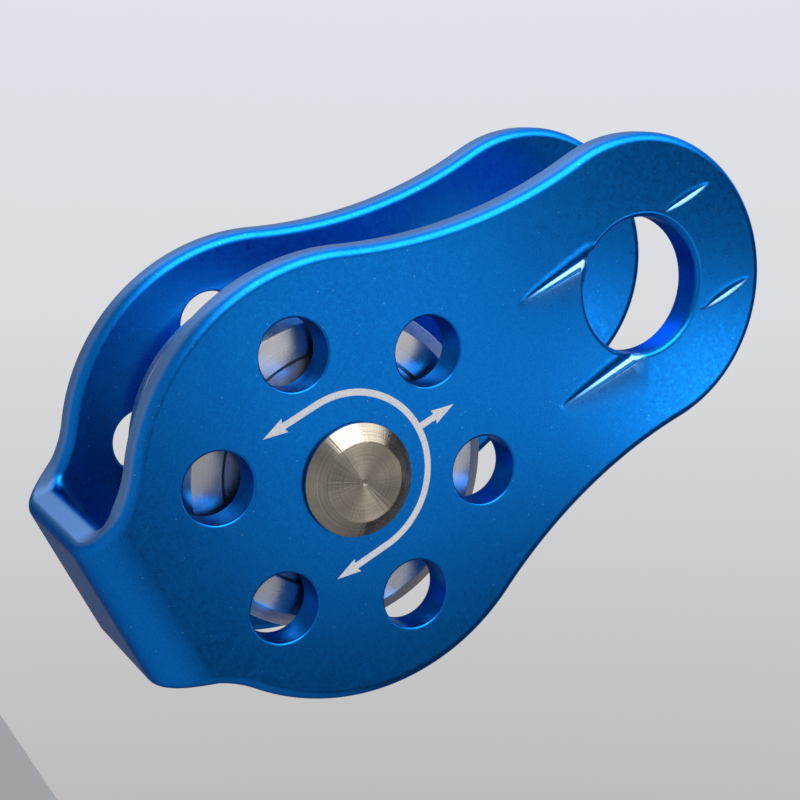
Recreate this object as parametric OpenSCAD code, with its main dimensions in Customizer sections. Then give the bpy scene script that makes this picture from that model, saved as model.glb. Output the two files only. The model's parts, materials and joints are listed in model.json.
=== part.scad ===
// Fixed-side rope pulley: one bent side frame, a grooved sheave on two ball
// bearings, and a fixed axle. It hangs from its eye: the origin is the centre
// of the eye, +Z points up out of the eye and the axle runs along Y.

/* [Side frame] */
// Plate thickness of the bent frame
plate_t = 4.5; // [3:0.25:5]
// Width of the frame over both plates
frame_w = 30.5; // [26:0.5:33]
// Distance from the eye down to the axle
eye_to_axle = 44.5; // [40:0.5:50]
// Outer radius of the plates around the axle
body_r = 27; // [25:0.5:30]
// Outer radius of the plates around the eye
eye_outer_r = 19; // [16:0.5:21]
// Radius of the carabiner eye
eye_r = 8.6; // [7:0.1:10]
// Radius of the hollow flanks between eye and body
neck_r = 65; // [50:1:90]
// Distance from the axle down to the outside of the bridge
bridge_drop = 31.5; // [31:0.5:38]
// Half of the bridge's width
bridge_half_w = 9.5; // [8:0.5:12]
// Radius where the plates narrow into the bridge
flank_r = 14; // [10:0.5:18]
// Outside radius of the two bends
bend_r = 6; // [5:0.5:8]

/* [Lightening holes and pressed grooves] */
// Radius of each lightening hole
light_hole_r = 4.2; // [3:0.1:4.5]
// Radius of the circle that the lightening holes lie on
light_ring_r = 17; // [16:0.5:19]
// Distance of the pressed grooves beside the eye from the frame's centre line
press_x = 7.2; // [6:0.1:7.4]
// Widest radius of a long groove, which runs out below the eye
long_groove_r = 0.65; // [0.3:0.05:0.8]
// Widest radius of a short groove, above the eye
short_groove_r = 0.35; // [0.2:0.05:0.5]

/* [Axle] */
// Radius of the axle's shank
axle_r = 5; // [4.5:0.5:5]
// Radius of the axle's riveted tail
tail_r = 3.75; // [3:0.25:4]
// Radius of the turned head and of the collar
head_r = 6.8; // [6.5:0.1:8]
// Radius of the flat face of the head
head_face_r = 4.7; // [4.2:0.1:5.5]
// Height of the head's straight skirt
head_skirt = 0.7; // [0.5:0.1:1.5]
// Height of the whole head
head_h = 1.9; // [1.6:0.1:3.5]

/* [Sheave] */
// Radius of the sheave's flanges
sheave_r = 20; // [18:0.5:20]
// Radius of the sheave at the root of its groove
root_r = 12; // [12:0.5:13]
// Radius of the rope groove
groove_r = 6.6; // [6:0.1:7]
// Gap between the sheave and each plate
side_gap = 1; // [0.6:0.1:1.2]
// Bevel on the outside of each flange
flange_bevel = 1.7; // [1:0.1:2]

/* [Bearings] */
// Radius of the bearing's outside
bearing_r = 9.5; // [9.5:0.5:9.5]
// Width of one bearing
bearing_w = 5; // [5:0.5:5]
// Number of balls in one bearing
ball_count = 11; // [9:1:11]
// Radius of a ball
ball_r = 1.19; // [1.1:0.01:1.19]
// Width of the spacer between the inner races
race_gap = 2.5; // [2:0.5:3]

/* [Hidden] */
$fn = 96;
cut = 0.5;                               // how far a cutter runs past a face
axle_z = -eye_to_axle;
plate_y = frame_w / 2 - plate_t;         // inner face of each plate
bottom_z = axle_z - bridge_drop;
inner_bend_r = bend_r - plate_t;
sheave_half_w = plate_y - side_gap;

// Hollow flank between eye and body: a circle that touches both round ends
neck_z = axle_z + (pow(body_r + neck_r, 2) - pow(eye_outer_r + neck_r, 2)
         + pow(eye_to_axle, 2)) / (2 * eye_to_axle);
neck_x = sqrt(pow(eye_outer_r + neck_r, 2) - pow(neck_z, 2));
// Flank of the bridge: a circle that touches the body and the strip's edge
flank_x = bridge_half_w + flank_r;
flank_z = axle_z - sqrt(pow(body_r + flank_r, 2) - pow(flank_x, 2));

long_groove_z = -15.5;                   // point of a long groove
long_groove_end_z = -3;                  // where it has run into the eye
short_groove_z = 7.8;                    // lower point of a short groove
short_groove_l = 7.6;

groove_centre_r = root_r + groove_r;
flare = 0.5;                             // how far the groove's mouth opens at the rim
bevel_depth = 1;                         // axial depth of the flange's outer bevel

bore_r = axle_r;                         // bearings and spacers sit on the shank
pitch_r = (axle_r + bearing_r) / 2;      // circle of the ball centres
race_groove_r = ball_r + 0.05;           // running clearance between ball and race
inner_land_r = pitch_r - 0.9;            // shoulder of the inner race
outer_land_r = pitch_r + 0.9;            // shoulder of the outer race
cage_t = 0.8;
cage_half_w = 1.55;
pocket_r = ball_r + 0.04;
shield_t = 0.3;
shield_seat_r = outer_land_r + 0.5;
shield_inset = 0.1;                      // shield's outside below the race's end
shield_gap = 0.12;                       // gap between shield and inner race
bearing_y = race_gap / 2 + bearing_w / 2;
bearing_end = race_gap / 2 + bearing_w;

ring_t = 0.9;                            // retaining ring
ring_depth = 0.5;                        // how far the ring sits in the bore's wall
ring_width = 1.5;
ring_open_angle = 34;
lug_r = 1.05;
lug_hole_r = 0.5;
spacer_r = inner_land_r;                 // spacers are as wide as the inner race

// ---------- helpers ----------

// Turns a profile drawn as (radius, place along the axle) about the axle
module on_axle(side = 1) {
    translate([0, 0, axle_z]) mirror([0, side < 0 ? 1 : 0, 0])
        rotate([-90, 0, 0]) rotate_extrude() children();
}

// A ring's profile from one radius and place to another
module band(r0, r1, y0, y1) {
    translate([r0, y0]) square([r1 - r0, y1 - y0]);
}

module y_rod(r, length) {
    rotate([90, 0, 0]) cylinder(r = r, h = length, center = true);
}

// ---------- side frame ----------

// Points on an arc, without its first one. Angles run from +X towards +Z
function arc(centre, r, from, to, steps) =
    [for (i = [1 : steps]) let (a = from + (to - from) * i / steps) centre + r * [cos(a), sin(a)]];

// The plate's outline, seen along the axle: round eye, hollow neck, round body, hollow flank,
// each arc touching the next. The -X half mirrors the +X half.
module plate_outline() {
    eye_turn = atan2(neck_z, neck_x);
    body_turn = atan2(neck_z - axle_z, neck_x);
    flank_turn = atan2(flank_z - axle_z, flank_x);
    half = concat(
        arc([0, 0], eye_outer_r, 90, eye_turn, 32),
        arc([neck_x, neck_z], neck_r, eye_turn + 180, body_turn + 180, 14),
        arc([0, axle_z], body_r, body_turn, flank_turn, 30),
        arc([flank_x, flank_z], flank_r, flank_turn + 180, 180, 12));
    other_half = [for (i = [len(half) - 1 : -1 : 0]) [-half[i].x, half[i].y]];
    polygon(concat([[0, eye_outer_r]], half, other_half));
}

// A block with its two lower corners rounded, seen from the side
module round_bottomed(half_w, low, high, r) {
    translate([-half_w, low + r]) square([2 * half_w, high - low - r]);
    translate([r - half_w, low]) square([2 * (half_w - r), r]);
    for (s = [-1, 1]) translate([s * (half_w - r), low + r]) circle(r);
}

// The flat strip bent into a U, seen from the side
module bent_strip() {
    difference() {
        round_bottomed(frame_w / 2, bottom_z, eye_outer_r + cut, bend_r);
        round_bottomed(plate_y, bottom_z + plate_t, eye_outer_r + 2 * cut, inner_bend_r);
    }
}

// Four pointed grooves pressed into the outside of one plate beside the eye
module pressed_grooves(side) {
    long_l = long_groove_end_z - long_groove_z;
    for (s = [-1, 1]) {
        translate([s * press_x, side * frame_w / 2, long_groove_z])
            cylinder(r1 = 0, r2 = long_groove_r, h = long_l);
        translate([s * press_x, side * frame_w / 2, short_groove_z]) {
            cylinder(r1 = 0, r2 = short_groove_r, h = short_groove_l / 2);
            translate([0, 0, short_groove_l / 2])
                cylinder(r1 = short_groove_r, r2 = 0, h = short_groove_l / 2);
        }
    }
}

module side_frame() {
    color("royalblue") difference() {
        intersection() {
            rotate([90, 0, 90])
                linear_extrude(height = 2 * body_r + 2 * cut, center = true) bent_strip();
            rotate([90, 0, 0])
                linear_extrude(height = frame_w + 2 * cut, center = true) plate_outline();
        }
        y_rod(eye_r, frame_w + 2 * cut);
        translate([0, 0, axle_z]) y_rod(axle_r, frame_w + 2 * cut);
        for (a = [30 : 60 : 330])
            translate([light_ring_r * sin(a), 0, axle_z + light_ring_r * cos(a)])
                y_rod(light_hole_r, frame_w + 2 * cut);
        for (side = [-1, 1]) pressed_grooves(side);
    }
}

// ---------- axle ----------

// Skirt and bevel of the turned head, starting at the plate's outer face
module head_profile(bore) {
    polygon([[bore, 0], [head_r, 0], [head_r, head_skirt], [head_face_r, head_h], [bore, head_h]]);
}

module axle_pin() {
    color("silver") {
        on_axle() {
            band(0, axle_r, -frame_w / 2, frame_w / 2);
            band(0, tail_r, 0, frame_w / 2 + head_h);
        }
        on_axle(-1) translate([0, frame_w / 2]) head_profile(0);
    }
}

module axle_collar() {
    color("silver") on_axle() translate([0, frame_w / 2]) head_profile(tail_r);
}

// ---------- sheave ----------

// Half of the sheave's section, from the middle of its width to one face
module sheave_half() {
    difference() {
        polygon([[outer_land_r, 0], [sheave_r, 0], [sheave_r, sheave_half_w - bevel_depth],
                 [sheave_r - flange_bevel, sheave_half_w], [outer_land_r, sheave_half_w]]);
        translate([groove_centre_r, 0]) circle(groove_r);
        polygon([[groove_centre_r, 0], [sheave_r + cut, 0],
                 [sheave_r + cut, groove_r + flare], [groove_centre_r, groove_r]]);
        band(0, bearing_r, race_gap / 2, sheave_half_w + cut);
        band(0, bearing_r + ring_depth, bearing_end, bearing_end + ring_t);
    }
}

module sheave() {
    color("lightgray") {
        on_axle(-1) sheave_half();
        on_axle(1) sheave_half();
    }
}

// Snap ring in the sheave's bore, open at one place, with two plier holes
module retaining_ring(side) {
    mid_r = bearing_r + ring_depth - ring_width;
    lug_at = bearing_r - 1.3;
    color("dimgray") difference() {
        union() {
            difference() {
                on_axle(side) band(mid_r, bearing_r + ring_depth, bearing_end, bearing_end + ring_t);
                translate([0, side * (bearing_end + ring_t / 2), axle_z])
                    rotate([90, 0, 0]) linear_extrude(height = 2 * ring_t, center = true)
                        polygon([[0, 0],
                                 2 * bearing_r * [sin(ring_open_angle / 2), cos(ring_open_angle / 2)],
                                 2 * bearing_r * [-sin(ring_open_angle / 2), cos(ring_open_angle / 2)]]);
            }
            for (s = [-1, 1]) ring_lug(side, s * ring_open_angle / 2, lug_at, lug_r, ring_t);
        }
        for (s = [-1, 1]) ring_lug(side, s * ring_open_angle / 2, lug_at, lug_hole_r, 2 * ring_t);
    }
}

module ring_lug(side, angle, at_r, r, height) {
    translate([at_r * sin(angle), side * (bearing_end + ring_t / 2), axle_z + at_r * cos(angle)])
        y_rod(r, height);
}

// ---------- spacers ----------

module spacer_bush(side) {
    color("gainsboro") on_axle(side) band(bore_r, spacer_r, bearing_end, plate_y);
}

module race_spacer() {
    color("gainsboro") on_axle() band(bore_r, spacer_r, -race_gap / 2, race_gap / 2);
}

// ---------- ball bearings ----------

module ball_track() {
    translate([pitch_r, bearing_y]) circle(race_groove_r);
}

module inner_race(side) {
    color("lightsteelblue") on_axle(side) difference() {
        band(bore_r, inner_land_r, race_gap / 2, bearing_end);
        ball_track();
    }
}

module outer_race(side) {
    color("lightsteelblue") on_axle(side) difference() {
        band(outer_land_r, bearing_r, race_gap / 2, bearing_end);
        ball_track();
        band(0, shield_seat_r, race_gap / 2 - cut, race_gap / 2 + shield_inset + shield_t);
        band(0, shield_seat_r, bearing_end - shield_inset - shield_t, bearing_end + cut);
    }
}

// Places its children once for each ball, with +Z pointing away from the axle
module at_balls(side) {
    for (i = [0 : ball_count - 1])
        translate([0, side * bearing_y, axle_z]) rotate([0, i * 360 / ball_count, 0])
            translate([0, 0, pitch_r]) children();
}

module balls(side) {
    color("white") at_balls(side) sphere(ball_r);
}

module cage(side) {
    color("goldenrod") difference() {
        on_axle(side) band(pitch_r - cage_t / 2, pitch_r + cage_t / 2,
                           bearing_y - cage_half_w, bearing_y + cage_half_w);
        at_balls(side) cylinder(r = pocket_r, h = 2 * cage_t, center = true);
    }
}

// Shield in the race's end away from the sheave's middle, or near it
module shield(side, outward) {
    low = outward ? bearing_end - shield_inset - shield_t : race_gap / 2 + shield_inset;
    color("slategray") on_axle(side)
        band(inner_land_r + shield_gap, shield_seat_r, low, low + shield_t);
}

// ---------- assembly ----------

side_frame();
axle_pin();
axle_collar();
sheave();
spacer_bush(-1);  // front_spacer_bush
spacer_bush(1);  // rear_spacer_bush
race_spacer();
retaining_ring(-1);  // front_retaining_ring
retaining_ring(1);  // rear_retaining_ring
inner_race(-1);  // front_inner_race
outer_race(-1);  // front_outer_race
balls(-1);  // front_balls
cage(-1);  // front_cage
shield(-1, true);  // front_outer_shield
shield(-1, false);  // front_inner_shield
inner_race(1);  // rear_inner_race
outer_race(1);  // rear_outer_race
balls(1);  // rear_balls
cage(1);  // rear_cage
shield(1, true);  // rear_outer_shield
shield(1, false);  // rear_inner_shield
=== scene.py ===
"""Looks of the rope pulley: meshes, materials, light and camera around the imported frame.

The shared frame's origin is the centre of the eye, +Z runs up out of the eye and the axle lies
along Y, with the front plate on the -Y side. The pulley's sizes are in millimetres, and MM turns
them into Blender's metres. The lamps' and the floor's own sizes are in metres.
"""
import json
from math import acos, asin, atan2, cos, pi, radians, sin, sqrt

import bpy
import numpy as np
from mathutils import Matrix, Vector
from mathutils.geometry import delaunay_2d_cdt


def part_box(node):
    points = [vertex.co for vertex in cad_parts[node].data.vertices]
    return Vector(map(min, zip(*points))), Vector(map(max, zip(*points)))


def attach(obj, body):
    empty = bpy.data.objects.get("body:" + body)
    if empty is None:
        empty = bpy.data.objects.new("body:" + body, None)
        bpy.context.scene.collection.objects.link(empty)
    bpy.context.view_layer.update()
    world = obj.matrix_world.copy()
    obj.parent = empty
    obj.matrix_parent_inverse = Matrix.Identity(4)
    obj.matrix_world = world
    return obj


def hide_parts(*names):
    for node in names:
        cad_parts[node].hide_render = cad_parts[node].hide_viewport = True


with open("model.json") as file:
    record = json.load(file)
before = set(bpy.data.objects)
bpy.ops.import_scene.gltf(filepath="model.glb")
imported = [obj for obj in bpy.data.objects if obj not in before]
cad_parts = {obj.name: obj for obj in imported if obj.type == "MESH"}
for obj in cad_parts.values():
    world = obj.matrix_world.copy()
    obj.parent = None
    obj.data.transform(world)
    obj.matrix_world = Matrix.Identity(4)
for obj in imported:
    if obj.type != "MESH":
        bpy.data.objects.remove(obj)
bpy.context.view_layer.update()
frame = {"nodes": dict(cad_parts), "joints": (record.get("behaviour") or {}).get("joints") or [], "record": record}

MM = 0.001

# ---------- sizes, in millimetres, read from the frame where it gives them ----------


def node_box(name):
    """Lowest and highest corner of a CAD node in millimetres."""
    low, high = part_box(name)
    return low / MM, high / MM


frame_low, frame_high = node_box("side_frame")
collar_high = node_box("axle_collar")[1]
sheave_high = node_box("sheave")[1]
bush_low = node_box("front_spacer_bush")[0]
race_high = node_box("front_outer_race")[1]

AXLE_Z = [j for j in frame["joints"] if j["name"] == "sheave_spin"][0]["pos_m"][2] / MM
FRAME_HALF_W = frame_high.y
BODY_R = frame_high.x
EYE_OUTER_R = frame_high.z
BOTTOM_Z = frame_low.z
EYE_R = frame["record"]["mounts"][0]["dims"]["r_mm"]
PLATE_T = FRAME_HALF_W + bush_low.y
BEND_R = 6.0            # outside of the bends between the bridge and the plates
NECK_R = 65.0           # hollow between the eye and the body
BRIDGE_HALF_W = 9.5
FLANK_R = 14.0          # hollow between the body and the bridge
HOLE_R = 4.2
HOLE_RING_R = 17.0
AXLE_R = 5.0
HEAD_R = collar_high.x
HEAD_H = collar_high.y - FRAME_HALF_W
HEAD_FACE_R = 4.75
SHEAVE_R = sheave_high.x
SHEAVE_HALF_W = sheave_high.y
BEARING_R = race_high.x

# ---------- mesh helpers ----------


def add_mesh(name, vertices, faces, material, body, normals=None):
    """A shaded piece from vertices in millimetres, riding on a CAD body."""
    mesh = bpy.data.meshes.new(name)
    points = np.asarray(vertices, float) * MM
    mesh.from_pydata(points.tolist(), [], faces)
    mesh.validate()
    mesh.update()
    mesh.polygons.foreach_set("use_smooth", [True] * len(mesh.polygons))
    if normals is not None:
        mesh.normals_split_custom_set_from_vertices(np.asarray(normals, float).tolist())
    piece = bpy.data.objects.new(name, mesh)
    bpy.context.scene.collection.objects.link(piece)
    piece.data.materials.append(material)
    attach(piece, body)
    return piece


def weigh_normals(piece):
    """Flat faces keep flat shading beside their rounded edges."""
    weighted = piece.modifiers.new("flat faces stay flat", "WEIGHTED_NORMAL")
    weighted.keep_sharp = True
    weighted.weight = 80


def rounded(corners, steps=4):
    """A profile of (r, y, radius) corners with each corner turned into an arc of that radius. A
    corner of radius 0 stays sharp, and an open profile's two ends have to be such corners."""
    out = []
    count = len(corners)
    for i, (x, y, radius) in enumerate(corners):
        here = Vector((x, y))
        before = Vector(corners[i - 1][:2]) - here
        after = Vector(corners[(i + 1) % count][:2]) - here
        if radius <= 0:
            out.append((x, y))
            continue
        before.normalize()
        after.normalize()
        half = acos(max(-1, min(1, before.dot(after)))) / 2
        reach = radius / np.tan(half)
        centre = here + (before + after).normalized() * (radius / sin(half))
        start = here + before * reach - centre
        turn = start.angle_signed(here + after * reach - centre)
        for k in range(steps + 1):
            arm = start.copy()
            arm.rotate(Matrix.Rotation(-turn * k / steps, 2))
            out.append(tuple(centre + arm))
    return out


def lathe(name, profile, material, body, closed=True, segments=144, side=1):
    """Turns a profile of (r, y) about the axle. A closed profile makes a ring; an open one
    starts and ends on the axis. The profile runs so that the material lies on its left."""
    vertices, faces, rows = [], [], []
    for r, y in profile:
        if r == 0:
            rows.append([len(vertices)] * segments)
            vertices.append((0, side * y, AXLE_Z))
            continue
        rows.append(list(range(len(vertices), len(vertices) + segments)))
        for k in range(segments):
            a = 2 * pi * k / segments
            vertices.append((r * sin(a), side * y, AXLE_Z + r * cos(a)))
    for low, high in zip(rows, rows[1:] + rows[:1] if closed else rows[1:]):
        for k in range(segments):
            n = (k + 1) % segments
            ring = list(dict.fromkeys([low[k], low[n], high[n], high[k]]))
            if len(ring) > 2:
                faces.append(ring if side > 0 else ring[::-1])
    piece = add_mesh(name, vertices, faces, material, body)
    weigh_normals(piece)
    return piece


# ---------- material helpers ----------


class Nodes:
    """Short calls for adding nodes to a material's or the world's node tree."""

    def __init__(self, tree):
        self.tree = tree

    def node(self, kind, inputs=None, **settings):
        made = self.tree.nodes.new(kind)
        for key, value in settings.items():
            setattr(made, key, value)
        for key, value in (inputs or {}).items():
            self.put(made.inputs[key], value)
        return made

    def put(self, socket, value):
        if isinstance(value, bpy.types.NodeSocket):
            self.tree.links.new(value, socket)
        else:
            socket.default_value = value

    def math(self, operation, a, b=0.0, c=0.0):
        made = self.node("ShaderNodeMath", {0: a, 1: b, 2: c}, operation=operation)
        return made.outputs[0]

    def vector(self, operation, a, b=(0, 0, 0)):
        made = self.node("ShaderNodeVectorMath", {0: a, 1: b}, operation=operation)
        return made.outputs["Value" if operation in ("LENGTH", "DOT_PRODUCT") else "Vector"]

    def fit(self, value, low, high, to_low=0.0, to_high=1.0, kind="LINEAR"):
        made = self.node("ShaderNodeMapRange", {
            "Value": value, "From Min": low, "From Max": high, "To Min": to_low, "To Max": to_high},
            interpolation_type=kind)
        return made.outputs["Result"]

    def blend(self, share, a, b):
        made = self.node("ShaderNodeMix", {"Factor": share}, data_type="RGBA")
        for socket, value in zip([s for s in made.inputs if s.type == "RGBA"], (a, b)):
            self.put(socket, value if isinstance(value, bpy.types.NodeSocket) else (*value, 1))
        return [s for s in made.outputs if s.type == "RGBA"][0]


class Look(Nodes):
    """A Principled material whose textures are laid out in the object's own coordinates."""

    def __init__(self, name, **sockets):
        self.material = bpy.data.materials.new(name)
        self.material.use_nodes = True
        super().__init__(self.material.node_tree)
        self.shader = self.tree.nodes["Principled BSDF"]
        for key, value in sockets.items():
            socket = key.replace("_", " ").title().replace("Ior", "IOR")
            self.shader.inputs[socket].default_value = value
        self.place = self.node("ShaderNodeTexCoord").outputs["Object"]

    def noise(self, size_mm, detail=2.0, roughness=0.5, place=None):
        made = self.node("ShaderNodeTexNoise", {
            "Vector": place or self.place, "Scale": 1 / (size_mm * MM),
            "Detail": detail, "Roughness": roughness})
        return made.outputs["Fac"]

    def bump(self, height, depth_mm, strength=1.0, under=None):
        inputs = {"Height": height, "Distance": depth_mm * MM, "Strength": strength}
        if under is not None:
            inputs["Normal"] = under
        return self.node("ShaderNodeBump", inputs).outputs["Normal"]

    def finish(self, colour, roughness=None, normal=None):
        self.put(self.shader.inputs["Base Color"], colour)
        if roughness is not None:
            self.put(self.shader.inputs["Roughness"], roughness)
        if normal is not None:
            self.put(self.shader.inputs["Normal"], normal)
        return self.material

    def axle_radius(self):
        """Distance from the axle, in metres."""
        arm = self.vector("SUBTRACT", self.place, (0, 0, AXLE_Z * MM))
        return self.vector("LENGTH", self.vector("MULTIPLY", arm, (1, 0, 1)))

    def edge(self, low, high):
        """0 on flat faces and 1 on outward edges."""
        pointed = self.node("ShaderNodeNewGeometry").outputs["Pointiness"]
        return self.fit(pointed, low, high)


def anodised_blue():
    """Blue anodising over a bead-blasted surface, with painted glints: a small pale spot in some
    of its cells. The strip's cut edges, marked by the mesh's cut_edge attribute, come out paler and
    a little lavender, partly thinner dye and partly a painted highlight. The pressed grooves' walls on
    the +X side of their deepest lines, marked by pressed_wall, get a painted highlight that makes them paler."""
    deep, middle, bright = (0.0015, 0.145, 0.59), (0.003, 0.186, 0.71), (0.004, 0.38, 0.92)
    glint, thin_dye_and_highlight = (0.12, 0.55, 0.95), (0.30, 0.52, 0.92)
    soft_wall_highlight, full_wall_highlight = (0.02, 0.27, 0.80), (0.27, 0.52, 0.72)
    cell_mm, cells_without_speck, speck_r = 0.75, 0.8, 0.1
    look = Look("anodised_blue", metallic=1.0, specular_tint=(0.3, 0.3, 0.32, 1.0),
                coat_weight=0.05, coat_roughness=0.3, coat_ior=1.5)
    broad = look.noise(14, detail=3)
    grain = look.noise(0.16, detail=1)
    pits = look.noise(0.55, detail=2)
    colour = look.blend(broad, deep, middle)
    colour = look.blend(look.fit(grain, 0.35, 0.8, 0, 0.4), colour, bright)
    # Painted glints: a pale spot in some cells, mixed into the base colour.
    cells = look.node("ShaderNodeTexVoronoi", {
        "Vector": look.place, "Scale": 1 / (cell_mm * MM), "Randomness": 1.0})
    pick = look.node("ShaderNodeSeparateColor", {"Color": cells.outputs["Color"]}).outputs["Red"]
    chosen = look.math("GREATER_THAN", pick, cells_without_speck)
    near = look.math("LESS_THAN", cells.outputs["Distance"], speck_r)
    painted_glint_spot = look.math("MULTIPLY", chosen, near)
    colour = look.blend(look.math("MULTIPLY", painted_glint_spot, 0.8), colour, glint)
    # The cut edges' paler colour: partly thinner dye, partly a painted highlight.
    cut = look.node("ShaderNodeAttribute", attribute_name="cut_edge").outputs["Fac"]
    colour = look.blend(look.math("MULTIPLY", cut, 0.75), colour, thin_dye_and_highlight)
    # Painted highlight: groove walls that face the light are mixed towards a paler blue.
    pressed = look.node("ShaderNodeAttribute", attribute_name="pressed_wall").outputs["Fac"]
    painted_wall_highlight = look.math("MULTIPLY", pressed, look.fit(grain, 0.3, 0.6, 0.55, 0.95))
    colour = look.blend(painted_wall_highlight, colour, look.blend(painted_wall_highlight, soft_wall_highlight, full_wall_highlight))
    rough = look.fit(pits, 0.3, 0.7, 0.27, 0.35)
    normal = look.bump(grain, 0.007, 0.5)
    normal = look.bump(pits, 0.01, 0.3, normal)
    return look.finish(colour, rough, normal)


def laser_mark():
    """Etched lines: a matt pale grey with the blue showing through in tiny spots."""
    look = Look("laser_mark", metallic=0.0, specular_ior_level=0.3)
    grain = look.noise(0.16, detail=2)
    colour = look.blend(look.fit(grain, 0.3, 0.5), (0.48, 0.51, 0.57), (0.68, 0.68, 0.69))
    return look.finish(colour, look.fit(grain, 0.3, 0.7, 0.55, 0.75), look.bump(grain, 0.01, 0.5))


def turned(name, colour, dark, rough, ring_mm, depth_mm, anisotropic=0.6, streaks_mm=0.0,
           bevel_rough=None):
    """Lathe-turned metal: fine rings about the axle that spread the shine across themselves, with
    roughness that varies from ring to ring. Where bevel_rough is given it takes the place of
    rough outside the head's face. streaks_mm is the depth of marks that run out from the axle."""
    look = Look(name, metallic=1.0, anisotropic=anisotropic, anisotropic_rotation=0.25)
    tangent = look.node("ShaderNodeTangent", direction_type="RADIAL", axis="Y")
    look.put(look.shader.inputs["Tangent"], tangent.outputs["Tangent"])
    parts = look.node("ShaderNodeSeparateXYZ", {0: look.place}).outputs
    radius = look.axle_radius()
    spot = look.node("ShaderNodeCombineXYZ", {0: radius, 1: parts[1]}).outputs[0]
    rings = look.noise(ring_mm, detail=3, roughness=0.7, place=spot)
    broad_rings = look.noise(ring_mm * 7, detail=2, place=spot)
    smear = look.noise(1.7, detail=3)
    tone = look.math("MULTIPLY_ADD", rings, 0.7, look.math("MULTIPLY", smear, 0.3))
    shade = look.blend(look.fit(tone, 0.3, 0.7), dark, colour)
    smeared = look.fit(smear, 0.3, 0.7, rough - 0.08, rough + 0.02)
    roughness = look.math("MULTIPLY_ADD", broad_rings, 0.12, smeared)
    if bevel_rough is not None:
        on_bevel = look.fit(radius, (HEAD_FACE_R - 0.05) * MM, (HEAD_FACE_R + 0.1) * MM)
        roughness = look.math("MULTIPLY_ADD", on_bevel, bevel_rough - rough, roughness)
    normal = look.bump(rings, depth_mm, 0.6)
    if streaks_mm:
        angle = look.math("ARCTAN2", parts[0], look.math("SUBTRACT", parts[2], AXLE_Z * MM))
        wedge = look.node("ShaderNodeTexNoise", {"W": angle, "Scale": 11.0, "Detail": 2.0},
                          noise_dimensions="1D").outputs["Fac"]
        normal = look.bump(wedge, streaks_mm, 0.6, normal)
    return look.finish(shade, roughness, normal)


def plain_steel(name, colour, dark, rough, grain_mm=0.3):
    """Ground or pressed steel with a soft, slightly uneven shine."""
    look = Look(name, metallic=1.0)
    grain = look.noise(grain_mm, detail=3)
    stain = look.noise(3.0, detail=3)
    shade = look.blend(look.fit(stain, 0.3, 0.7), dark, colour)
    shade = look.blend(look.math("MULTIPLY", look.edge(0.52, 0.62), 0.5), shade, (0.8, 0.8, 0.8))
    return look.finish(shade, look.fit(grain, 0.3, 0.7, rough - 0.06, rough + 0.08),
                       look.bump(grain, 0.004, 0.4))


ANODISED = anodised_blue()
MARK = laser_mark()
AXLE_STEEL = turned("axle_steel", (0.50, 0.45, 0.36), (0.22, 0.195, 0.155), 0.38, 0.16, 0.016,
                    anisotropic=0.88, streaks_mm=0.03, bevel_rough=0.2)
SHEAVE_METAL = turned("sheave_metal", (0.78, 0.78, 0.79), (0.52, 0.52, 0.53), 0.26, 0.16, 0.008, 0.7)
SPACER_STEEL = turned("spacer_steel", (0.60, 0.60, 0.61), (0.42, 0.42, 0.43), 0.3, 0.14, 0.005)
RACE_STEEL = turned("bearing_steel", (0.66, 0.67, 0.69), (0.5, 0.51, 0.53), 0.18, 0.08, 0.002, 0.4)
SHIELD_METAL = turned("shield_metal", (0.5, 0.51, 0.53), (0.36, 0.37, 0.39), 0.36, 0.2, 0.004)
SPRING_STEEL = plain_steel("spring_steel", (0.13, 0.13, 0.14), (0.07, 0.07, 0.075), 0.42, 0.2)
BALL_STEEL = plain_steel("ball_steel", (0.82, 0.82, 0.84), (0.7, 0.7, 0.72), 0.1, 0.5)
CAGE_BRASS = plain_steel("cage_brass", (0.62, 0.47, 0.2), (0.45, 0.33, 0.13), 0.35, 0.25)

# ---------- side frame: a flat blank, then the bend ----------
# The blank is drawn in (x, s): s runs along the middle of the strip's thickness, from 0 in the
# middle of the bridge up the front plate, and down from 0 up the rear plate. w is the height
# above that middle surface, positive on the outside of the U.

HALF_T = PLATE_T / 2
MID_R = BEND_R - HALF_T
FLAT_HALF = FRAME_HALF_W - BEND_R
BEND_LENGTH = MID_R * pi / 2
PLATE_START_S = FLAT_HALF + BEND_LENGTH
BEND_TOP_Z = BOTTOM_Z + BEND_R
EDGE_R = 1.4            # rounding of the strip's cut edges
HOLE_EDGE_R = 0.3
EYE_EDGE_R = 0.75


def s_of(z):
    """Place along the strip of a height on the plate."""
    return PLATE_START_S + z - BEND_TOP_Z


EYE_S = s_of(0)
AXLE_S = s_of(AXLE_Z)


def arc_points(cx, cz, r, start, end, step):
    """Points on an arc, without its last one."""
    count = max(2, int(abs(end - start) * r / step))
    angles = [start + (end - start) * k / count for k in range(count)]
    return [(cx + r * cos(a), cz + r * sin(a)) for a in angles]


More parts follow.
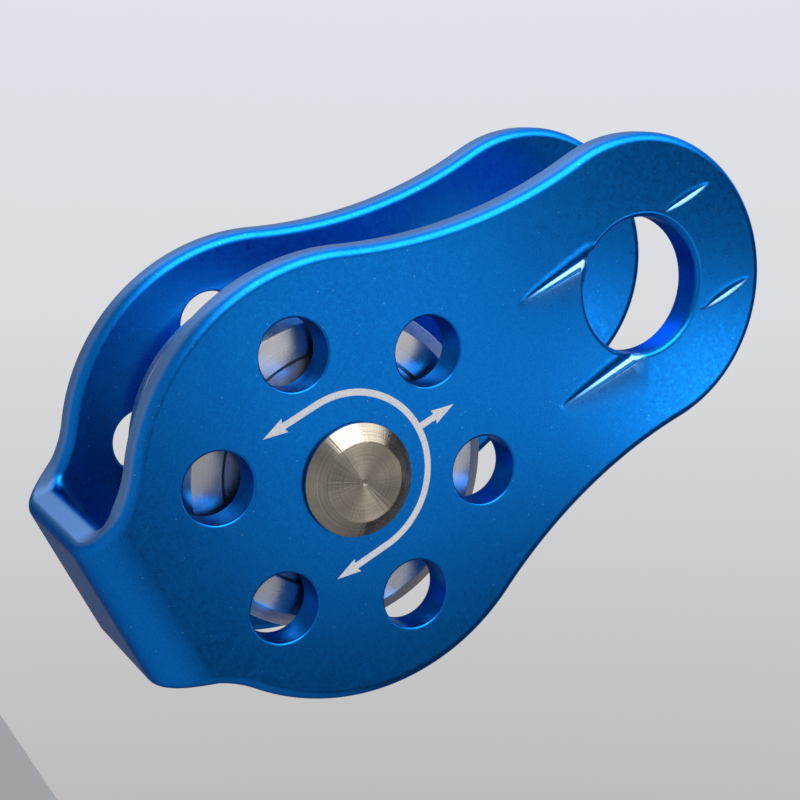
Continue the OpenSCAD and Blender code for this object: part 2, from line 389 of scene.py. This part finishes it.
def quarter_outline(step):
    """The +X edge of the front half of the blank, from the top of the eye to the bridge's middle:
    round eye, hollow neck, round body and hollow flank, each arc touching the next."""
    to_body, to_eye = BODY_R + NECK_R, EYE_OUTER_R + NECK_R
    neck_z = AXLE_Z + (to_body ** 2 - to_eye ** 2 + AXLE_Z ** 2) / (-2 * AXLE_Z)
    neck_x = sqrt(to_eye ** 2 - neck_z ** 2)
    flank_x = BRIDGE_HALF_W + FLANK_R
    flank_z = AXLE_Z - sqrt((BODY_R + FLANK_R) ** 2 - flank_x ** 2)
    eye_turn = atan2(neck_z, neck_x)
    body_turn = atan2(neck_z - AXLE_Z, neck_x)
    flank_turn = atan2(flank_z - AXLE_Z, flank_x)
    bend_turn = pi - asin((BEND_TOP_Z - flank_z) / FLANK_R)
    upper = (arc_points(0, 0, EYE_OUTER_R, pi / 2, eye_turn, step)
             + arc_points(neck_x, neck_z, NECK_R, eye_turn + pi, body_turn + pi, step)
             + arc_points(0, AXLE_Z, BODY_R, body_turn, flank_turn, step)
             + arc_points(flank_x, flank_z, FLANK_R, flank_turn + pi, bend_turn, step))
    edge = [(x, s_of(z)) for x, z in upper]
    for k in range(int(PLATE_START_S / step) + 1):
        s = PLATE_START_S * (1 - k * step / PLATE_START_S)
        turn = max(s - FLAT_HALF, 0) / MID_R
        rise = BEND_TOP_Z - MID_R * cos(turn) - flank_z
        edge.append((flank_x - sqrt(FLANK_R ** 2 - rise ** 2), s))
    return edge


def loop_with_normals(points):
    """A closed loop as an array, and the unit normals on its right-hand side."""
    p = np.array(points)
    along = np.roll(p, -1, axis=0) - np.roll(p, 1, axis=0)
    along /= np.linalg.norm(along, axis=1)[:, None]
    return p, np.stack([along[:, 1], -along[:, 0]], axis=1)


def outline_loop(step=0.45):
    """The whole blank's outline, clockwise from the top of the front plate."""
    right_front = quarter_outline(step)
    right_front[0] = (0.0, right_front[0][1])
    right_rear = [(x, -s) for x, s in reversed(right_front) if s > 1e-6]
    right = right_front + right_rear
    left = [(-x, s) for x, s in reversed(right[1:-1])]
    p, n = loop_with_normals(right + left)
    return p, -n


def hole_loop(x, s, r, step):
    """A hole's wall; its normals point at the hole's centre."""
    count = int(2 * pi * r / step)
    a = 2 * pi * np.arange(count) / count
    arm = np.stack([np.cos(a), np.sin(a)], axis=1)
    return np.array([x, s]) + r * arm, -arm


# A pressed groove's section: offsets towards +X from its deepest line, and the share of its depth
# there. On the +X side a long groove has a steep wall, a fine second crease and a wide shallow
# run-out, and a short one ends sharply.
LONG_SECTION = ((-2.0, -1.4, -0.7, -0.25, 0.0, 0.9, 1.02, 1.16, 2.2, 3.4, 5.2),
                (0.0, 0.10, 0.38, 0.80, 1.0, 0.34, 0.5, 0.42, 0.20, 0.07, 0.0))
SHORT_SECTION = ((-1.0, -0.6, -0.25, 0.0, 0.5, 0.62), (0.0, 0.14, 0.6, 1.0, 0.06, 0.0))
PRESSED_GROOVES = [
    # place across, start and end along the plate from the eye's centre, depth, is it a long one
    (-7.2, -16.2, -5.4, 0.75, True),
    (7.5, -16.8, -5.4, 0.75, True),
    (-6.8, 6.6, 14.4, 0.27, False),
    (7.5, 7.2, 15.1, 0.27, False),
]
GROOVE_FADE = 3.0       # how far past its end a long groove runs on beside the eye


def groove_size(along, start, end, is_long):
    """Share of a groove's full depth along its length: a long one starts in a point, is deepest
    where it meets the eye and fades out beside it, and a short one comes to a point at both ends."""
    t = np.clip((along - start) / (end - start), 0, 1)
    if is_long:
        past = np.clip((along - end) / GROOVE_FADE, 0, 1)
        return t ** 0.7 * (1 - past) ** 2 * (1 + 2 * past)
    return np.sin(pi * t) ** 0.8


def groove_width(size):
    """Share of a groove's full width, for a share of its full depth."""
    return 0.3 + 0.7 * size


def groove_depth(x, along, at_x, start, end, depth, is_long):
    """Depth of one groove, which is also narrower where it is shallower."""
    size = groove_size(along, start, end, is_long)
    section = LONG_SECTION if is_long else SHORT_SECTION
    return depth * size * np.interp((x - at_x) / groove_width(size), *section)


def press_depth(x, s):
    """Depth of all the pressed grooves on the outside of both plates."""
    along = np.abs(s) - EYE_S
    return sum(groove_depth(x, along, *groove) for groove in PRESSED_GROOVES)


def bent(x, s, w):
    """Points of the blank after the strip is bent into its U."""
    side = np.where(s >= 0, -1.0, 1.0)
    run = np.abs(s)
    turn = np.clip(run - FLAT_HALF, 0, BEND_LENGTH) / MID_R
    y = np.minimum(run, FLAT_HALF) + (MID_R + w) * np.sin(turn)
    z = BEND_TOP_Z - (MID_R + w) * np.cos(turn) + np.maximum(run - PLATE_START_S, 0)
    return np.stack([x, side * y, z], axis=1)


def bent_normals(s, n):
    """Directions (across, along, out of the blank) after the bend."""
    side = np.where(s >= 0, -1.0, 1.0)
    turn = np.clip(np.abs(s) - FLAT_HALF, 0, BEND_LENGTH) / MID_R
    along = -side * n[:, 1]
    y = along * np.cos(turn) + n[:, 2] * np.sin(turn)
    z = along * np.sin(turn) - n[:, 2] * np.cos(turn)
    return np.stack([n[:, 0], side * y, z], axis=1)


def edge_rings(points, normals, radius, steps):
    """Rings from the outer face round the edge to the inner face: (x, s, w) and normals."""
    rings = []
    for face in (1, -1):
        turns = [pi / 2 * k / steps for k in range(steps + 1)]
        for turn in turns if face > 0 else turns[::-1]:
            flat = points - normals * radius * (1 - sin(turn))
            w = np.full(len(points), face * (HALF_T - radius * (1 - cos(turn))))
            slope = np.full(len(points), face * cos(turn))
            rings.append((np.column_stack([flat, w]), np.column_stack([normals * sin(turn), slope])))
    return rings


def lattice(low, high, pitch):
    """Points of a triangular lattice over a box."""
    rows = np.arange(low[1], high[1], pitch * sqrt(3) / 2)
    out = []
    for i, s in enumerate(rows):
        out += [(x, s) for x in np.arange(low[0] + (i % 2) * pitch / 2, high[0], pitch)]
    return np.array(out)


def nearest(points, others):
    """Distance from each point to the nearest of the others."""
    out = np.empty(len(points))
    for k in range(0, len(points), 2000):
        gap = points[k:k + 2000, None, :] - others[None, :, :]
        out[k:k + 2000] = np.sqrt((gap ** 2).sum(axis=2)).min(axis=1)
    return out


def inside_loop(points, loop):
    """Which points lie inside a closed loop."""
    x, s = points[:, 0][:, None], points[:, 1][:, None]
    x0, s0 = loop[:, 0][None], loop[:, 1][None]
    x1, s1 = np.roll(loop, -1, axis=0).T[:, None, :]
    crosses = (s0 > s) != (s1 > s)
    rise = np.where(s1 == s0, 1e-12, s1 - s0)
    return (crosses & (x < x0 + (s - s0) * (x1 - x0) / rise)).sum(axis=1) % 2 == 1


def in_material(points, loops):
    """Inside the first loop and outside every other loop."""
    keep = np.zeros(len(points), bool)
    for k in range(0, len(points), 2000):
        part = points[k:k + 2000]
        good = inside_loop(part, loops[0])
        for loop in loops[1:]:
            good &= ~inside_loop(part, loop)
        keep[k:k + 2000] = good
    return keep


def face_points(loops, outside):
    """Points inside one face of the blank: a lattice over the plates, rows across the bridge and
    the bends, and on the outside, columns on the knots of the pressed grooves' sections."""
    rim = np.concatenate(loops)
    high = loops[0].max(axis=0)
    fine = []
    if outside:
        for at_x, start, end, _, is_long in PRESSED_GROOVES:
            knots = np.array((LONG_SECTION if is_long else SHORT_SECTION)[0])
            between = (knots[1:] + knots[:-1]) / 2
            across = np.concatenate([knots, between, [knots[0] - 0.3, knots[-1] + 0.3, -0.1, 0.1]])
            for along in np.arange(start + 0.1, end + (GROOVE_FADE if is_long else 0.3), 0.22):
                spread = groove_width(groove_size(along, start, end, is_long))
                for side in (1, -1):
                    fine += [(at_x + u * spread, side * (EYE_S + along)) for u in across]
        fine = np.array(fine)
        fine = fine[in_material(fine, loops)]
        fine = fine[nearest(fine, rim) > 0.12]
    coarse = lattice(-high, high, 1.0)
    turn_rows = np.arange(0.0, PLATE_START_S + 0.6, 0.55)
    turn_columns = np.arange(-9, 9.5, 1.2)
    turns = np.array([(x, side * s) for s in turn_rows for x in turn_columns for side in (1, -1)])
    coarse = coarse[np.abs(coarse[:, 1]) > PLATE_START_S + 0.9]
    coarse = np.concatenate([coarse, np.unique(turns, axis=0)])
    coarse = coarse[in_material(coarse, loops)]
    coarse = coarse[nearest(coarse, rim) > 0.5]
    if outside:
        coarse = coarse[nearest(coarse, fine) > 0.4]
        return np.concatenate([coarse, fine])
    return coarse


def fill_face(loops, inner):
    """Triangles over a face, as indices into its loops' points followed by the inner points."""
    points = np.concatenate(loops + [inner])
    edges, start = [], 0
    for loop in loops:
        edges += [(start + k, start + (k + 1) % len(loop)) for k in range(len(loop))]
        start += len(loop)
    made, _, faces, origin, _, _ = delaunay_2d_cdt([Vector(p) for p in points], edges, [], 0, 1e-6)
    back = [o[0] for o in origin]
    centres = np.array([(made[a] + made[b] + made[c]) / 3 for a, b, c in faces])
    keep = in_material(centres, loops)
    return [tuple(back[v] for v in f) for f, k in zip(faces, keep) if k]


def build_side_frame():
    """The bent strip as one closed mesh: the walls of its outline and holes with their rounded
    edges, then the two faces. The grooves are pressed into the outer one before the bend. The
    mesh's cut_edge attribute marks the outline's wall, and pressed_wall the grooves' walls on
    the +X side of their deepest lines."""
    holes = []
    for side in (1, -1):
        holes.append((hole_loop(0, side * EYE_S, EYE_R, step=0.25), EYE_EDGE_R))
        holes.append((hole_loop(0, side * AXLE_S, AXLE_R, step=0.5), HOLE_EDGE_R))
        for k in range(6):
            a = radians(30 + 60 * k)
            x, s = HOLE_RING_R * sin(a), side * (AXLE_S + HOLE_RING_R * cos(a))
            holes.append((hole_loop(x, s, HOLE_R, step=0.3), HOLE_EDGE_R))
    walls = [edge_rings(*outline_loop(), EDGE_R, steps=7)]
    walls += [edge_rings(*loop, radius, steps=4) for loop, radius in holes]
    places, normals, cut, faces, starts, count = [], [], [], [], [], 0
    for number, rings in enumerate(walls):
        size = len(rings[0][0])
        starts.append((count, count + size * (len(rings) - 1), size))
        for k, (place, normal) in enumerate(rings):
            places.append(place)
            normals.append(normal)
            flatness = np.clip(1.6 * (1 - np.abs(normal[:, 2])) - 0.6, 0, 1)
            cut.append(flatness if number == 0 else np.zeros(size))
            if k:
                a, b = count + (k - 1) * size, count + k * size
                for i in range(size):
                    j = (i + 1) % size
                    faces.append((a + i, a + j, b + j, b + i))
        count += size * len(rings)
    for face in (1, -1):
        loops = [rings[0 if face > 0 else -1][0][:, :2] for rings in walls]
        inner = face_points(loops, face > 0)
        index = [first + i if face > 0 else last + i
                 for first, last, size in starts for i in range(size)]
        index += list(range(count, count + len(inner)))
        for triangle in fill_face(loops, inner):
            corner = [index[v] for v in triangle]
            faces.append(tuple(corner if face > 0 else corner[::-1]))
        places.append(np.column_stack([inner, np.full(len(inner), face * HALF_T)]))
        normals.append(np.tile([0.0, 0.0, face], (len(inner), 1)))
        cut.append(np.zeros(len(inner)))
        count += len(inner)
    place, normal = np.concatenate(places), np.concatenate(normals)
    x, s, w = place.T
    share = np.clip(w / HALF_T, 0, 1)    # how much of the pressing reaches each point
    pinch = 0.02                         # half the span that the grooves' slopes are taken over
    slope_x = (press_depth(x + pinch, s) - press_depth(x - pinch, s)) / (2 * pinch) * share
    slope_s = (press_depth(x, s + pinch) - press_depth(x, s - pinch)) / (2 * pinch) * share
    normal = normal + np.column_stack([slope_x, slope_s, np.zeros(len(x))])
    normal /= np.linalg.norm(normal, axis=1)[:, None]
    w = w - share * press_depth(x, s)
    piece = add_mesh("bent_side_frame", bent(x, s, w), faces, ANODISED, "frame_body",
                     bent_normals(s, normal))
    # cut_edge marks where the outline's wall is painted paler: thinner dye and a painted highlight.
    marked = piece.data.attributes.new("cut_edge", "FLOAT", "POINT")
    marked.data.foreach_set("value", np.concatenate(cut))
    # pressed_wall holds how much painted highlight each groove wall gets, taken from how it slopes towards the
    # light.
    wall_highlight_share = piece.data.attributes.new("pressed_wall", "FLOAT", "POINT")
    wall_highlight_share.data.foreach_set("value", np.clip(-slope_x * 2.2, 0, 1) ** 0.8)
    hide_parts("side_frame")


# ---------- load-direction marks ----------

MARK_T = 0.02                   # how far a mark stands out of the plate, and reaches into it
MARK_W = 0.8
MARK_ARC_R = 9.9
MARK_LEG_L = 4.5
MARK_X, MARK_Z = -0.65, -0.4    # the arc's centre from the axle
ARROW_L = 2.8
ARROW_HALF_W = 0.9
ARROW_BACK = 0.2                # how far the arrowhead's barbs reach back along the line
EYE_ARROW_L = 2.1
EYE_ARROW_X = -0.45             # from the arc's centre


def stroke(path):
    """A flat line of constant width along a path that ends in an arrowhead: both its sides and
    the head's three corners."""
    p = np.array(path, float)
    along = np.gradient(p, axis=0)
    along /= np.linalg.norm(along, axis=1)[:, None]
    across = np.stack([-along[:, 1], along[:, 0]], axis=1)
    left, right = p + across * MARK_W / 2, p - across * MARK_W / 2
    tip, way, over = p[-1], along[-1], across[-1]
    barbs, reach = tip - way * ARROW_BACK, over * ARROW_HALF_W
    return left, right, [barbs + reach, tip + way * ARROW_L, barbs - reach]


def mark_piece(name, path, both_ends):
    """One thin mark on the front plate, from a path of (x, z) relative to the axle."""
    left, right, head = stroke(path)
    n = len(path)
    flat = list(left) + list(right)
    faces = [(k, k + 1, n + k + 1, n + k) for k in range(n - 1)]
    flat += head
    base = 2 * n
    faces.append((n - 1, base, base + 1, base + 2, 2 * n - 1))
    if both_ends:
        _, _, back_head = stroke(path[::-1])
        flat += back_head
        faces.append((n, base + 3, base + 4, base + 5, 0))
    edge_use = {}
    for f in faces:
        for a, b in zip(f, f[1:] + f[:1]):
            edge_use[(a, b)] = edge_use.get((a, b), 0) + 1
    rim = [e for e in edge_use if (e[1], e[0]) not in edge_use]
    count = len(flat)
    y_out = -FRAME_HALF_W - MARK_T
    y_in = -FRAME_HALF_W + MARK_T
    vertices = [(x, y_out, AXLE_Z + z) for x, z in flat] + [(x, y_in, AXLE_Z + z) for x, z in flat]
    solid = [f[::-1] for f in faces] + [tuple(v + count for v in f) for f in faces]
    solid += [(a, b, b + count, a + count) for a, b in rim]
    piece = add_mesh(name, vertices, solid, MARK, "frame_body")
    piece.data.polygons.foreach_set("use_smooth", [False] * len(piece.data.polygons))


def build_marks():
    """A load arrow over the axle with a head on each leg, and a short arrow towards the eye."""
    arc = [(-MARK_ARC_R * cos(a), MARK_ARC_R * sin(a)) for a in np.linspace(0, pi, 73)]
    legs = np.linspace(-MARK_LEG_L, 0, 9)[:-1]
    path = [(-MARK_ARC_R, z) for z in legs] + arc + [(MARK_ARC_R, z) for z in legs[::-1]]
    mark_piece("load_arrow_mark", [(MARK_X + x, MARK_Z + z) for x, z in path], True)
    low = MARK_ARC_R + MARK_W / 2 - 0.02
    line = np.linspace(low, low + EYE_ARROW_L, 5)
    mark_piece("eye_arrow_mark", [(MARK_X + EYE_ARROW_X, MARK_Z + z) for z in line], False)


# ---------- axle ----------


def head_corners():
    """The turned head's profile from the plate outwards, each corner with the radius it is
    broken by: a foot that is set back and sunk into the plate's face, a short skirt, the bevel
    and the face's rim. The collar at the other end has the same outside."""
    front, top = FRAME_HALF_W, FRAME_HALF_W + HEAD_H
    foot_r, sunk = HEAD_R - 0.25, 0.15
    return [(foot_r, front - sunk, 0.0), (foot_r, front + 0.12, 0.0),
            (HEAD_R, front + 0.3, 0.08), (HEAD_R, front + 0.62, 0.16),
            (HEAD_FACE_R + 0.12, top - 0.05, 0.1), (HEAD_FACE_R, top, 0.06)]


def build_axle():
    """The pin with its turned head in front, and the collar its tail is riveted into behind. The
    pin's profile runs from its tail to its head, and side=-1 puts the head in front."""
    front, top, tail_r = FRAME_HALF_W, FRAME_HALF_W + HEAD_H, 3.75
    shank = [(0.0, -top), (2.9, -top), (3.6, -top + 0.3), (tail_r, -top + 0.6), (tail_r, 0.0),
             (AXLE_R - 0.15, 0.0), (AXLE_R, 0.15), (AXLE_R, front)]
    face = [(HEAD_FACE_R - 0.25, top, 0.0), (0.42, top, 0.05), (0.16, top - 0.1, 0.0)]
    profile = shank + rounded(head_corners() + face) + [(0.0, top - 0.22)]
    pin = lathe("turned_axle_pin", profile, AXLE_STEEL, "frame_body", closed=False,
                segments=192, side=-1)
    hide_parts("axle_pin")
    bore = [(tail_r + 0.25, top, 0.05), (tail_r, top - 0.25, 0.05), (tail_r, front - 0.15, 0.0)]
    ring = rounded(head_corners() + bore)
    collar = lathe("riveted_axle_collar", ring, AXLE_STEEL, "frame_body", segments=192)
    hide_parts("axle_collar")


# ---------- sheave ----------


def build_sheave():
    """The wheel: the rope groove, a bevelled flange on each side with a shallow turned recess, and
    the bore with its retaining rings' grooves and the rib between the bearings."""
    half = SHEAVE_HALF_W
    groove_r, groove_centre, flare = 6.6, 18.6, 0.48
    bevel_in, bevel_down = 1.7, 1.0
    recess_depth = 0.25
    ring_y, ring_t, ring_r = 6.25, 0.9, BEARING_R + 0.5
    rib_r, rib_half = 8.15, 1.25
    floor = half - recess_depth
    groove = []
    for k in range(25):
        a = -pi / 2 + pi * k / 24
        groove.append((groove_centre - groove_r * cos(a), groove_r * sin(a), 0.0))
    right = [(SHEAVE_R, groove_r + flare, 0.28), (SHEAVE_R, half - bevel_down, 0.12),
             (SHEAVE_R - bevel_in, half, 0.25),
             (14.6, half, 0.15), (14.2, floor, 0.15), (12.2, floor, 0.15), (11.8, half, 0.15),
             (BEARING_R + 0.2, half, 0.0), (BEARING_R, half - 0.2, 0.0),
             (BEARING_R, ring_y + ring_t, 0.0), (ring_r, ring_y + ring_t, 0.0), (ring_r, ring_y, 0.0),
             (BEARING_R, ring_y, 0.0), (BEARING_R, rib_half, 0.0), (rib_r, rib_half, 0.1)]
    left = [(r, -y, q) for r, y, q in reversed(right)]
    profile = rounded(groove + right + left)
    wheel = lathe("grooved_sheave", profile, SHEAVE_METAL, "sheave_body", segments=256)
    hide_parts("sheave")


# ---------- small turned rings ----------


def band(name, node, body, material, r0, r1, y0, y1, edge, side=1):
    """A plain ring from r0 to r1 and y0 to y1, with broken edges, that stands for a CAD node."""
    corners = [(r0, y0, edge), (r1, y0, edge), (r1, y1, edge), (r0, y1, edge)]
    ring = lathe(name, rounded(corners, 3), material, body, side=side)
    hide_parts(node)


def build_rings():
    """The race spacer, the bushes, and each bearing's shields and inner race with its ball track.
    Each bearing runs from y = low to y = high on its own side."""
    inner_r, outer_r, pitch_r, centre_y = 6.35, 8.15, 7.25, 3.75
    low, high = 1.25, 6.25
    shield_t, shield_clear, shield_seat = 0.3, 0.12, 0.5
    track = 1.24
    band("turned_race_spacer", "race_spacer", "frame_body", SPACER_STEEL,
         AXLE_R, inner_r, -low, low, 0.12)
    for side, end in ((-1, "front"), (1, "rear")):
        band(f"{end}_turned_bush", f"{end}_spacer_bush", "frame_body", SPACER_STEEL,
             AXLE_R, inner_r, high, FRAME_HALF_W - PLATE_T, 0.15, side)
        for place, y0 in (("outer", high - 0.4), ("inner", low + 0.1)):
            band(f"{end}_{place}_pressed_shield", f"{end}_{place}_shield", "sheave_body",
                 SHIELD_METAL, inner_r + shield_clear, outer_r + shield_seat,
                 y0, y0 + shield_t, 0.08, side)
        open_turn = acos((pitch_r - inner_r) / track)
        curve = [(pitch_r - track * cos(a), centre_y - track * sin(a), 0.0)
                 for a in np.linspace(open_turn, -open_turn, 13)]
        inner_profile = rounded([(AXLE_R, low, 0.15), (inner_r, low, 0.08)] + curve
                                + [(inner_r, high, 0.08), (AXLE_R, high, 0.15)])
        race = lathe(f"{end}_ground_inner_race", inner_profile, RACE_STEEL, "frame_body", side=side)
        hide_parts(f"{end}_inner_race")


build_side_frame()
build_marks()
build_axle()
build_sheave()
build_rings()

# Each bearing's CAD nodes that stay as they are and only get a material.
CARRIED = [("outer_race", RACE_STEEL), ("balls", BALL_STEEL), ("cage", CAGE_BRASS),
           ("retaining_ring", SPRING_STEEL)]
for end in ("front", "rear"):
    for kind, material in CARRIED:
        node = frame["nodes"][f"{end}_{kind}"]
        node.data.materials.clear()
        node.data.materials.append(material)

# ---------- stage, light and camera ----------

VIEW = Vector((0.3811, 0.8713, 0.3091)).normalized()
CAMERA_AT = Vector((-71.83, -167.24, -89.47)) * MM
IMAGE_UP = Vector((-0.8320, 0.1775, 0.5256))
FOCAL_MM, SENSOR_MM = 67.5, 36.0
IMAGE_RIGHT = VIEW.cross(IMAGE_UP).normalized()
IMAGE_UP = IMAGE_RIGHT.cross(VIEW).normalized()
FLOOR_HALF, FLOOR_Z = 20.0, -0.35    # metres
LIT_CENTRE = (0, 0, AXLE_Z / 2)      # millimetres


def add_camera():
    """A camera before the front plate, to its left and below it, turned so that the eye points
    to the picture's upper right."""
    camera = bpy.data.objects.new("camera", bpy.data.cameras.new("camera"))
    camera.data.lens = FOCAL_MM
    camera.data.sensor_width = SENSOR_MM
    camera.data.clip_start = 0.01
    turn = Matrix((IMAGE_RIGHT, IMAGE_UP, -VIEW)).transposed()
    camera.matrix_world = Matrix.Translation(CAMERA_AT) @ turn.to_4x4()
    bpy.context.scene.collection.objects.link(camera)
    bpy.context.scene.camera = camera


def area_light(name, target, direction, distance, size, radiance, colour=(1, 1, 1)):
    """A square lamp of a given radiance that shines on a target, which is in millimetres. Its
    distance and size are in metres."""
    lamp = bpy.data.lights.new(name, "AREA")
    lamp.size = size
    lamp.energy = radiance * pi * size ** 2
    lamp.color = colour
    holder = bpy.data.objects.new(name, lamp)
    holder.visible_camera = False
    direction = direction.normalized()
    holder.matrix_world = (Matrix.Translation(Vector(target) * MM + direction * distance)
                           @ direction.to_track_quat("Z", "Y").to_matrix().to_4x4())
    bpy.context.scene.collection.objects.link(holder)


def soft_box(name, x, z, distance, size, radiance):
    """A lamp placed so that the front plate mirrors it towards the camera at (x, z)."""
    spot = Vector((x, -FRAME_HALF_W, z))
    ray = spot * MM - CAMERA_AT
    area_light(name, spot, Vector((ray.x, -ray.y, ray.z)), distance, size, radiance)


def add_world():
    """A pale backdrop in front of the camera, and elsewhere a dim room under a bright ceiling. To
    the picture's right both give way to a dark grey."""
    world = bpy.data.worlds.new("studio")
    bpy.context.scene.world = world
    world.use_nodes = True
    sky = Nodes(world.node_tree)
    way = sky.node("ShaderNodeTexCoord").outputs["Generated"]

    def facing(direction, outer, inner):
        """1 within the inner angle of a direction, fading to 0 at the outer one."""
        toward = sky.vector("DOT_PRODUCT", way, tuple(direction.normalized()))
        return sky.fit(toward, cos(radians(outer)), cos(radians(inner)), kind="SMOOTHSTEP")

    height = sky.vector("DOT_PRODUCT", way, tuple(IMAGE_UP))
    backdrop = sky.blend(sky.fit(height, -0.5, 0.05), (0.36, 0.34, 0.32), (0.70, 0.71, 0.73))
    backdrop = sky.blend(sky.fit(height, 0.05, 0.6), backdrop, (0.82, 0.86, 0.98))
    room = sky.blend(sky.fit(height, -0.6, -0.15), (0.03, 0.027, 0.025), (0.15, 0.155, 0.165))
    room = sky.blend(sky.fit(height, -0.1, 0.45, kind="SMOOTHSTEP"), room, (1.0, 1.03, 1.1))
    colour = sky.blend(facing(VIEW, 75, 40), room, backdrop)
    colour = sky.blend(facing(IMAGE_RIGHT, 50, 30), colour, (0.10, 0.10, 0.11))
    back = world.node_tree.nodes["Background"]
    sky.put(back.inputs["Color"], colour)
    back.inputs["Strength"].default_value = 1.0


def add_floor():
    """A wide pale floor under the hanging pulley."""
    look = Look("pale_floor", metallic=0.0)
    grain = look.noise(4, detail=4)
    material = look.finish(look.blend(grain, (0.53, 0.52, 0.51), (0.58, 0.57, 0.56)), 0.7)
    signs = ((-1, -1), (1, -1), (1, 1), (-1, 1))
    corners = [(x * FLOOR_HALF, y * FLOOR_HALF, FLOOR_Z) for x, y in signs]
    mesh = bpy.data.meshes.new("floor")
    mesh.from_pydata(corners, [], [(0, 1, 2, 3)])
    floor = bpy.data.objects.new("floor", mesh)
    floor.data.materials.append(material)
    bpy.context.scene.collection.objects.link(floor)


bpy.context.scene.view_settings.view_transform = "Standard"
add_camera()
add_world()
add_floor()
# Overall light: a cool lamp above and a little behind, one at the front left, one high in front.
area_light("sky_box", LIT_CENTRE, Vector((0.12, 0.34, 0.93)), 0.42, 0.26, 0.9, (0.9, 0.94, 1.0))
area_light("rim_box", LIT_CENTRE, Vector((-0.62, -0.66, 0.40)), 0.45, 0.34, 3.4)
area_light("top_box", LIT_CENTRE, Vector((-0.26, -0.42, 0.86)), 0.45, 0.22, 2.2)
# Lamps for the front plate: beside the eye, on the grooves under it, and left of the axle.
soft_box("right_box", 20, 4, 0.12, 0.032, 3.4)
area_light("fan_box", (-3, -FRAME_HALF_W, -9), Vector((0.126, -0.943, 0.309)), 0.25, 0.08, 0.45)
soft_box("left_box", -10, -38, 0.17, 0.085, 0.7)

bpy.context.view_layer.update()
